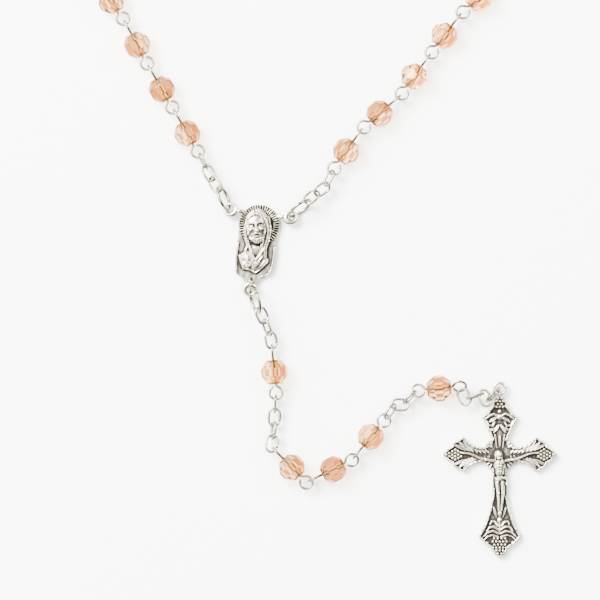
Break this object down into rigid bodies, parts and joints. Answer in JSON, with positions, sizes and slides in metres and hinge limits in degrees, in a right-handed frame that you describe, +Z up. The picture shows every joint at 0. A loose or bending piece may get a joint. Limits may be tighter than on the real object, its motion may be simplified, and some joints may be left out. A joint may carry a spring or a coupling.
{
  "type": "rosary",
  "caption": "Rosary: a long loop of faceted pale peach glass beads on silver wire, a centre medal with a bust in relief, and a short pendant that ends in an ornate crucifix.",
  "frame": {"origin": "middle of the centre medal's flat back, on the surface the rosary lies on", "axes": "+Z up from the surface through the medal's face, +Y up the bead loop away from the pendant, +X to the right, towards the crucifix's side"},
  "size_m": [0.2056, 0.3824, 0.0064],
  "materials": {
    "bead_glass": "clear pale peach faceted glass with a pearly iridescent coat",
    "strand_glass": "clear pale peach faceted glass with a pearly iridescent coat, on silver wire",
    "wire_silver": "bright silver-plated wire",
    "antique_silver": "cast antique silver, bright on the raised parts and dark in the recesses"
  },
  "bodies": {
    "centre_medal": {"centre_medal": "antique_silver"},
    "pendant_ring": {"pendant_ring": "wire_silver"},
    "medal_gap_link_1": {"medal_gap_link_1": "wire_silver"},
    "medal_gap_link_2": {"medal_gap_link_2": "wire_silver"},
    "medal_gap_link_3": {"medal_gap_link_3": "wire_silver"},
    "our_father_1_pin": {"our_father_1_pin": "wire_silver"},
    "our_father_1_bead": {"our_father_1_bead": "bead_glass"},
    "upper_gap_link_1": {"upper_gap_link_1": "wire_silver"},
    "upper_gap_link_2": {"upper_gap_link_2": "wire_silver"},
    "upper_gap_link_3": {"upper_gap_link_3": "wire_silver"},
    "upper_gap_link_4": {"upper_gap_link_4": "wire_silver"},
    "hail_mary_1_pin": {"hail_mary_1_pin": "wire_silver"},
    "hail_mary_1_bead": {"hail_mary_1_bead": "bead_glass"},
    "hail_mary_2_pin": {"hail_mary_2_pin": "wire_silver"},
    "hail_mary_2_bead": {"hail_mary_2_bead": "bead_glass"},
    "hail_mary_3_pin": {"hail_mary_3_pin": "wire_silver"},
    "hail_mary_3_bead": {"hail_mary_3_bead": "bead_glass"},
    "lower_gap_link_1": {"lower_gap_link_1": "wire_silver"},
    "lower_gap_link_2": {"lower_gap_link_2": "wire_silver"},
    "lower_gap_link_3": {"lower_gap_link_3": "wire_silver"},
    "our_father_2_pin": {"our_father_2_pin": "wire_silver"},
    "our_father_2_bead": {"our_father_2_bead": "bead_glass"},
    "cross_gap_link_1": {"cross_gap_link_1": "wire_silver"},
    "cross_gap_link_2": {"cross_gap_link_2": "wire_silver"},
    "cross_gap_link_3": {"cross_gap_link_3": "wire_silver"},
    "crucifix_ring": {"crucifix_ring": "wire_silver"},
    "crucifix": {"crucifix": "antique_silver"},
    "left_ring": {"left_ring": "wire_silver"},
    "left_gap_link_1": {"left_gap_link_1": "wire_silver"},
    "left_gap_link_2": {"left_gap_link_2": "wire_silver"},
    "left_gap_link_3": {"left_gap_link_3": "wire_silver"},
    "left_1_pin": {"left_1_pin": "wire_silver"},
    "left_1_bead": {"left_1_bead": "bead_glass"},
    "left_2_pin": {"left_2_pin": "wire_silver"},
    "left_2_bead": {"left_2_bead": "bead_glass"},
    "left_3_pin": {"left_3_pin": "wire_silver"},
    "left_3_bead": {"left_3_bead": "bead_glass"},
    "left_4_pin": {"left_4_pin": "wire_silver"},
    "left_4_bead": {"left_4_bead": "bead_glass"},
    "left_strand_1": {"left_strand_1": "strand_glass"},
    "left_strand_2": {"left_strand_2": "strand_glass"},
    "left_strand_3": {"left_strand_3": "strand_glass"},
    "right_ring": {"right_ring": "wire_silver"},
    "right_gap_link_1": {"right_gap_link_1": "wire_silver"},
    "right_gap_link_2": {"right_gap_link_2": "wire_silver"},
    "right_gap_link_3": {"right_gap_link_3": "wire_silver"},
    "right_1_pin": {"right_1_pin": "wire_silver"},
    "right_1_bead": {"right_1_bead": "bead_glass"},
    "right_2_pin": {"right_2_pin": "wire_silver"},
    "right_2_bead": {"right_2_bead": "bead_glass"},
    "right_3_pin": {"right_3_pin": "wire_silver"},
    "right_3_bead": {"right_3_bead": "bead_glass"},
    "right_4_pin": {"right_4_pin": "wire_silver"},
    "right_4_bead": {"right_4_bead": "bead_glass"},
    "right_5_pin": {"right_5_pin": "wire_silver"},
    "right_5_bead": {"right_5_bead": "bead_glass"},
    "right_strand_1": {"right_strand_1": "strand_glass"},
    "right_strand_2": {"right_strand_2": "strand_glass"},
    "right_strand_3": {"right_strand_3": "strand_glass"}
  },
  "joints": [
    {"name": "pendant_ring_swing", "type": "hinge", "parent": "centre_medal", "child": "pendant_ring", "pos_m": [-0.00128, -0.00988, 0.002], "axis": [0, 0, 1], "range_deg": [-30, 30]},
    {"name": "medal_gap_link_1_swing", "type": "hinge", "parent": "pendant_ring", "child": "medal_gap_link_1", "pos_m": [0.001, -0.01478, 0.0045], "axis": [0, 0, -1], "range_deg": [-30, 30]},
    {"name": "medal_gap_link_2_swing", "type": "hinge", "parent": "medal_gap_link_1", "child": "medal_gap_link_2", "pos_m": [0.00194, -0.0168, 0.0038], "axis": [0, 0, 1], "range_deg": [-30, 30]},
    {"name": "medal_gap_link_3_swing", "type": "hinge", "parent": "medal_gap_link_2", "child": "medal_gap_link_3", "pos_m": [0.00336, -0.02051, 0.0033], "axis": [0, 0, -1], "range_deg": [-30, 30]},
    {"name": "our_father_1_swing", "type": "hinge", "parent": "medal_gap_link_3", "child": "our_father_1_pin", "pos_m": [0.00379, -0.02281, 0.003], "axis": [0, 0, 1], "range_deg": [-30, 30]},
    {"name": "our_father_1_spin", "type": "hinge", "parent": "our_father_1_pin", "child": "our_father_1_bead", "pos_m": [0.00435, -0.02925, 0.003], "axis": [0.0872, -0.9962, 0], "continuous": true},
    {"name": "upper_gap_link_1_swing", "type": "hinge", "parent": "our_father_1_pin", "child": "upper_gap_link_1", "pos_m": [0.00473, -0.03487, 0.003], "axis": [0, 0, -1], "range_deg": [-30, 30]},
    {"name": "upper_gap_link_2_swing", "type": "hinge", "parent": "upper_gap_link_1", "child": "upper_gap_link_2", "pos_m": [0.00446, -0.03881, 0.0024], "axis": [0, 0, 1], "range_deg": [-30, 30]},
    {"name": "upper_gap_link_3_swing", "type": "hinge", "parent": "upper_gap_link_2", "child": "upper_gap_link_3", "pos_m": [0.00432, -0.04116, 0.0021], "axis": [0, 0, -1], "range_deg": [-30, 30]},
    {"name": "upper_gap_link_4_swing", "type": "hinge", "parent": "upper_gap_link_3", "child": "upper_gap_link_4", "pos_m": [0.00397, -0.04513, 0.0024], "axis": [0, 0, 1], "range_deg": [-30, 30]},
    {"name": "hail_mary_1_swing", "type": "hinge", "parent": "upper_gap_link_4", "child": "hail_mary_1_pin", "pos_m": [0.00403, -0.04729, 0.003], "axis": [0, 0, -1], "range_deg": [-30, 30]},
    {"name": "hail_mary_1_spin", "type": "hinge", "parent": "hail_mary_1_pin", "child": "hail_mary_1_bead", "pos_m": [0.00852, -0.05193, 0.003], "axis": [0.6947, -0.7193, 0], "continuous": true},
    {"name": "hail_mary_2_swing", "type": "hinge", "parent": "hail_mary_1_pin", "child": "hail_mary_2_pin", "pos_m": [0.01257, -0.0552, 0.003], "axis": [0, 0, 1], "range_deg": [-30, 30]},
    {"name": "hail_mary_2_spin", "type": "hinge", "parent": "hail_mary_2_pin", "child": "hail_mary_2_bead", "pos_m": [0.01838, -0.05237, 0.003], "axis": [0.8988, 0.4384, 0], "continuous": true},
    {"name": "hail_mary_3_swing", "type": "hinge", "parent": "hail_mary_2_pin", "child": "hail_mary_3_pin", "pos_m": [0.02327, -0.04967, 0.003], "axis": [0, 0, -1], "range_deg": [-30, 30]},
    {"name": "hail_mary_3_spin", "type": "hinge", "parent": "hail_mary_3_pin", "child": "hail_mary_3_bead", "pos_m": [0.02733, -0.04465, 0.003], "axis": [0.6293, 0.7771, 0], "continuous": true},
    {"name": "lower_gap_link_1_swing", "type": "hinge", "parent": "hail_mary_3_pin", "child": "lower_gap_link_1", "pos_m": [0.03084, -0.04023, 0.003], "axis": [0, 0, 1], "range_deg": [-30, 30]},
    {"name": "lower_gap_link_2_swing", "type": "hinge", "parent": "lower_gap_link_1", "child": "lower_gap_link_2", "pos_m": [0.03312, -0.03698, 0.0025], "axis": [0, 0, -1], "range_deg": [-30, 30]},
    {"name": "lower_gap_link_3_swing", "type": "hinge", "parent": "lower_gap_link_2", "child": "lower_gap_link_3", "pos_m": [0.03531, -0.0367, 0.0025], "axis": [0, 0, 1], "range_deg": [-30, 30]},
    {"name": "our_father_2_swing", "type": "hinge", "parent": "lower_gap_link_3", "child": "our_father_2_pin", "pos_m": [0.03796, -0.03375, 0.003], "axis": [0, 0, -1], "range_deg": [-30, 30]},
    {"name": "our_father_2_spin", "type": "hinge", "parent": "our_father_2_pin", "child": "our_father_2_bead", "pos_m": [0.04357, -0.03316, 0.003], "axis": [0.9945, 0.1045, 0], "continuous": true},
    {"name": "cross_gap_link_1_swing", "type": "hinge", "parent": "our_father_2_pin", "child": "cross_gap_link_1", "pos_m": [0.04877, -0.03327, 0.003], "axis": [0, 0, 1], "range_deg": [-30, 12]},
    {"name": "cross_gap_link_2_swing", "type": "hinge", "parent": "cross_gap_link_1", "child": "cross_gap_link_2", "pos_m": [0.0503, -0.03557, 0.0032], "axis": [0, 0, -1], "range_deg": [-30, 30]},
    {"name": "cross_gap_link_3_swing", "type": "hinge", "parent": "cross_gap_link_2", "child": "cross_gap_link_3", "pos_m": [0.05409, -0.03434, 0.0035], "axis": [0, 0, 1], "range_deg": [-30, 30]},
    {"name": "crucifix_ring_swing", "type": "hinge", "parent": "cross_gap_link_3", "child": "crucifix_ring", "pos_m": [0.0551, -0.03575, 0.0037], "axis": [0, 0, -1], "range_deg": [-30, 30]},
    {"name": "crucifix_swing", "type": "hinge", "parent": "crucifix_ring", "child": "crucifix", "pos_m": [0.05777, -0.03343, 0.00125], "axis": [0, 0, 1], "range_deg": [-12, 45]},
    {"name": "left_ring_swing", "type": "hinge", "parent": "centre_medal", "child": "left_ring", "pos_m": [-0.00628, 0.00979, 0.002], "axis": [0, 0, 1], "range_deg": [0, 12]},
    {"name": "left_gap_link_1_swing", "type": "hinge", "parent": "left_ring", "child": "left_gap_link_1", "pos_m": [-0.00907, 0.01442, 0.0045], "axis": [0, 0, 1], "range_deg": [0, 12]},
    {"name": "left_gap_link_2_swing", "type": "hinge", "parent": "left_gap_link_1", "child": "left_gap_link_2", "pos_m": [-0.01022, 0.01633, 0.0038], "axis": [0, 0, 1], "range_deg": [0, 12]},
    {"name": "left_gap_link_3_swing", "type": "hinge", "parent": "left_gap_link_2", "child": "left_gap_link_3", "pos_m": [-0.01169, 0.01912, 0.0033], "axis": [0, 0, 1], "range_deg": [0, 12]},
    {"name": "left_1_swing", "type": "hinge", "parent": "left_gap_link_3", "child": "left_1_pin", "pos_m": [-0.0135, 0.02267, 0.003], "axis": [0, 0, 1], "range_deg": [0, 12]},
    {"name": "left_1_spin", "type": "hinge", "parent": "left_1_pin", "child": "left_1_bead", "pos_m": [-0.01632, 0.02755, 0.003], "axis": [-0.5, 0.866, 0], "continuous": true},
    {"name": "left_2_swing", "type": "hinge", "parent": "left_1_pin", "child": "left_2_pin", "pos_m": [-0.01955, 0.03315, 0.003], "axis": [0, 0, 1], "range_deg": [0, 12]},
    {"name": "left_2_spin", "type": "hinge", "parent": "left_2_pin", "child": "left_2_bead", "pos_m": [-0.02237, 0.03803, 0.003], "axis": [-0.5, 0.866, 0], "continuous": true},
    {"name": "left_3_swing", "type": "hinge", "parent": "left_2_pin", "child": "left_3_pin", "pos_m": [-0.0256, 0.04363, 0.003], "axis": [0, 0, 1], "range_deg": [0, 12]},
    {"name": "left_3_spin", "type": "hinge", "parent": "left_3_pin", "child": "left_3_bead", "pos_m": [-0.02825, 0.04861, 0.003], "axis": [-0.4695, 0.8829, 0], "continuous": true},
    {"name": "left_4_swing", "type": "hinge", "parent": "left_3_pin", "child": "left_4_pin", "pos_m": [-0.03128, 0.05431, 0.003], "axis": [0, 0, 1], "range_deg": [0, 12]},
    {"name": "left_4_spin", "type": "hinge", "parent": "left_4_pin", "child": "left_4_bead", "pos_m": [-0.03435, 0.05904, 0.003], "axis": [-0.5446, 0.8387, 0], "continuous": true},
    {"name": "left_strand_1_swing", "type": "hinge", "parent": "left_4_pin", "child": "left_strand_1", "pos_m": [-0.03787, 0.06446, 0.003], "axis": [0, 0, 1], "range_deg": [0, 12]},
    {"name": "left_strand_2_swing", "type": "hinge", "parent": "left_strand_1", "child": "left_strand_2", "pos_m": [-0.08785, 0.16849, 0.003], "axis": [0, 0, 1], "range_deg": [0, 12]},
    {"name": "left_strand_3_swing", "type": "hinge", "parent": "left_strand_2", "child": "left_strand_3", "pos_m": [-0.07938, 0.26268, 0.003], "axis": [0, 0, 1], "range_deg": [0, 12]},
    {"name": "right_ring_swing", "type": "hinge", "parent": "centre_medal", "child": "right_ring", "pos_m": [0.0086, 0.00784, 0.002], "axis": [0, 0, -1], "range_deg": [0, 8]},
    {"name": "right_gap_link_1_swing", "type": "hinge", "parent": "right_ring", "child": "right_gap_link_1", "pos_m": [0.01242, 0.01166, 0.0045], "axis": [0, 0, -1], "range_deg": [0, 8]},
    {"name": "right_gap_link_2_swing", "type": "hinge", "parent": "right_gap_link_1", "child": "right_gap_link_2", "pos_m": [0.01413, 0.01309, 0.0038], "axis": [0, 0, -1], "range_deg": [0, 8]},
    {"name": "right_gap_link_3_swing", "type": "hinge", "parent": "right_gap_link_2", "child": "right_gap_link_3", "pos_m": [0.01649, 0.01509, 0.0033], "axis": [0, 0, -1], "range_deg": [0, 8]},
    {"name": "right_1_swing", "type": "hinge", "parent": "right_gap_link_3", "child": "right_1_pin", "pos_m": [0.01824, 0.01868, 0.003], "axis": [0, 0, -1], "range_deg": [0, 8]},
    {"name": "right_1_spin", "type": "hinge", "parent": "right_1_pin", "child": "right_1_bead", "pos_m": [0.02147, 0.0233, 0.003], "axis": [0.5736, 0.8192, 0], "continuous": true},
    {"name": "right_2_swing", "type": "hinge", "parent": "right_1_pin", "child": "right_2_pin", "pos_m": [0.02518, 0.02859, 0.003], "axis": [0, 0, -1], "range_deg": [0, 8]},
    {"name": "right_2_spin", "type": "hinge", "parent": "right_2_pin", "child": "right_2_bead", "pos_m": [0.02943, 0.03229, 0.003], "axis": [0.7547, 0.6561, 0], "continuous": true},
    {"name": "right_3_swing", "type": "hinge", "parent": "right_2_pin", "child": "right_3_pin", "pos_m": [0.03431, 0.03653, 0.003], "axis": [0, 0, -1], "range_deg": [0, 8]},
    {"name": "right_3_spin", "type": "hinge", "parent": "right_3_pin", "child": "right_3_bead", "pos_m": [0.03763, 0.04109, 0.003], "axis": [0.5878, 0.809, 0], "continuous": true},
    {"name": "right_4_swing", "type": "hinge", "parent": "right_3_pin", "child": "right_4_pin", "pos_m": [0.04142, 0.04632, 0.003], "axis": [0, 0, -1], "range_deg": [0, 8]},
    {"name": "right_4_spin", "type": "hinge", "parent": "right_4_pin", "child": "right_4_bead", "pos_m": [0.04482, 0.05082, 0.003], "axis": [0.6018, 0.7986, 0], "continuous": true},
    {"name": "right_5_swing", "type": "hinge", "parent": "right_4_pin", "child": "right_5_pin", "pos_m": [0.0487, 0.05598, 0.003], "axis": [0, 0, -1], "range_deg": [0, 8]},
    {"name": "right_5_spin", "type": "hinge", "parent": "right_5_pin", "child": "right_5_bead", "pos_m": [0.05296, 0.05968, 0.003], "axis": [0.7547, 0.6561, 0], "continuous": true},
    {"name": "right_strand_1_swing", "type": "hinge", "parent": "right_5_pin", "child": "right_strand_1", "pos_m": [0.05784, 0.06392, 0.003], "axis": [0, 0, -1], "range_deg": [0, 8]},
    {"name": "right_strand_2_swing", "type": "hinge", "parent": "right_strand_1", "child": "right_strand_2", "pos_m": [0.10498, 0.15494, 0.003], "axis": [0, 0, -1], "range_deg": [0, 8]},
    {"name": "right_strand_3_swing", "type": "hinge", "parent": "right_strand_2", "child": "right_strand_3", "pos_m": [0.09143, 0.24881, 0.003], "axis": [0, 0, -1], "range_deg": [0, 8]}
  ]
}
